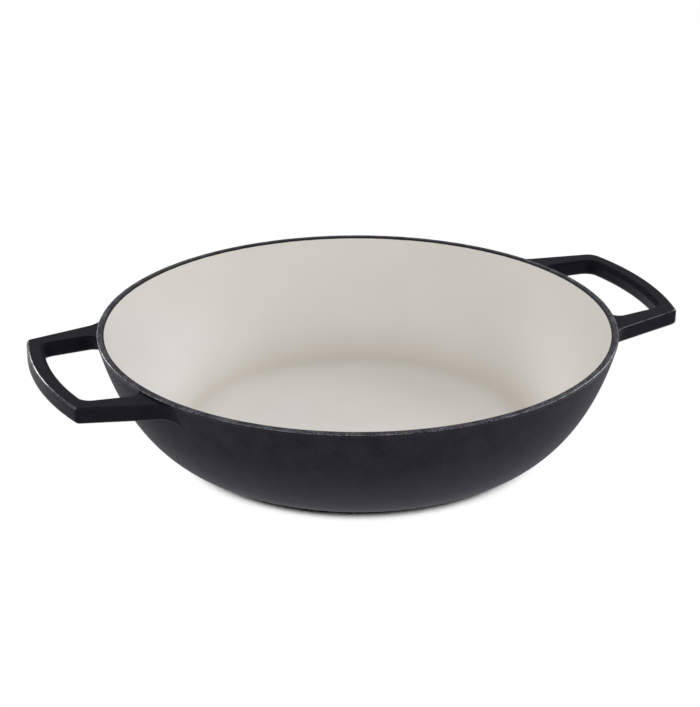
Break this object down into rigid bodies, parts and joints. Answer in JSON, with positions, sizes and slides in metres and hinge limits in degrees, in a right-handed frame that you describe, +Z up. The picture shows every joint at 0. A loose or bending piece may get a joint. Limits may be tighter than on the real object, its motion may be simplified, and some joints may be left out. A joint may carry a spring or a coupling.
{
  "type": "shallow pan",
  "caption": "Round shallow enamelled cast-iron pan with a flared wall, cream glazed inside and satin black outside, a dark speckled rim and squared loop handles, for cooking and serving.",
  "frame": {"origin": "centre of the flat foot that the pan stands on", "axes": "+Z up through the middle of the bowl, X through the middles of the two loop handles, with the right loop at +X and the left loop at -X"},
  "size_m": [0.3784, 0.2994, 0.071],
  "materials": {
    "iron": "bare cast iron, ground flat under the foot",
    "cream_enamel": "warm cream vitreous enamel, smooth and softly glossy",
    "black_enamel": "satin black vitreous enamel over a fine cast grain",
    "ground_coat": "thin dark ground enamel, slightly rough, with lighter specks"
  },
  "bodies": {
    "root": {"iron_bowl": "iron", "left_loop_iron": "iron", "right_loop_iron": "iron", "cream_lining": "cream_enamel", "black_coat": "black_enamel", "left_loop_coat": "black_enamel", "right_loop_coat": "black_enamel", "rim_coat": "ground_coat"}
  },
  "joints": []
}
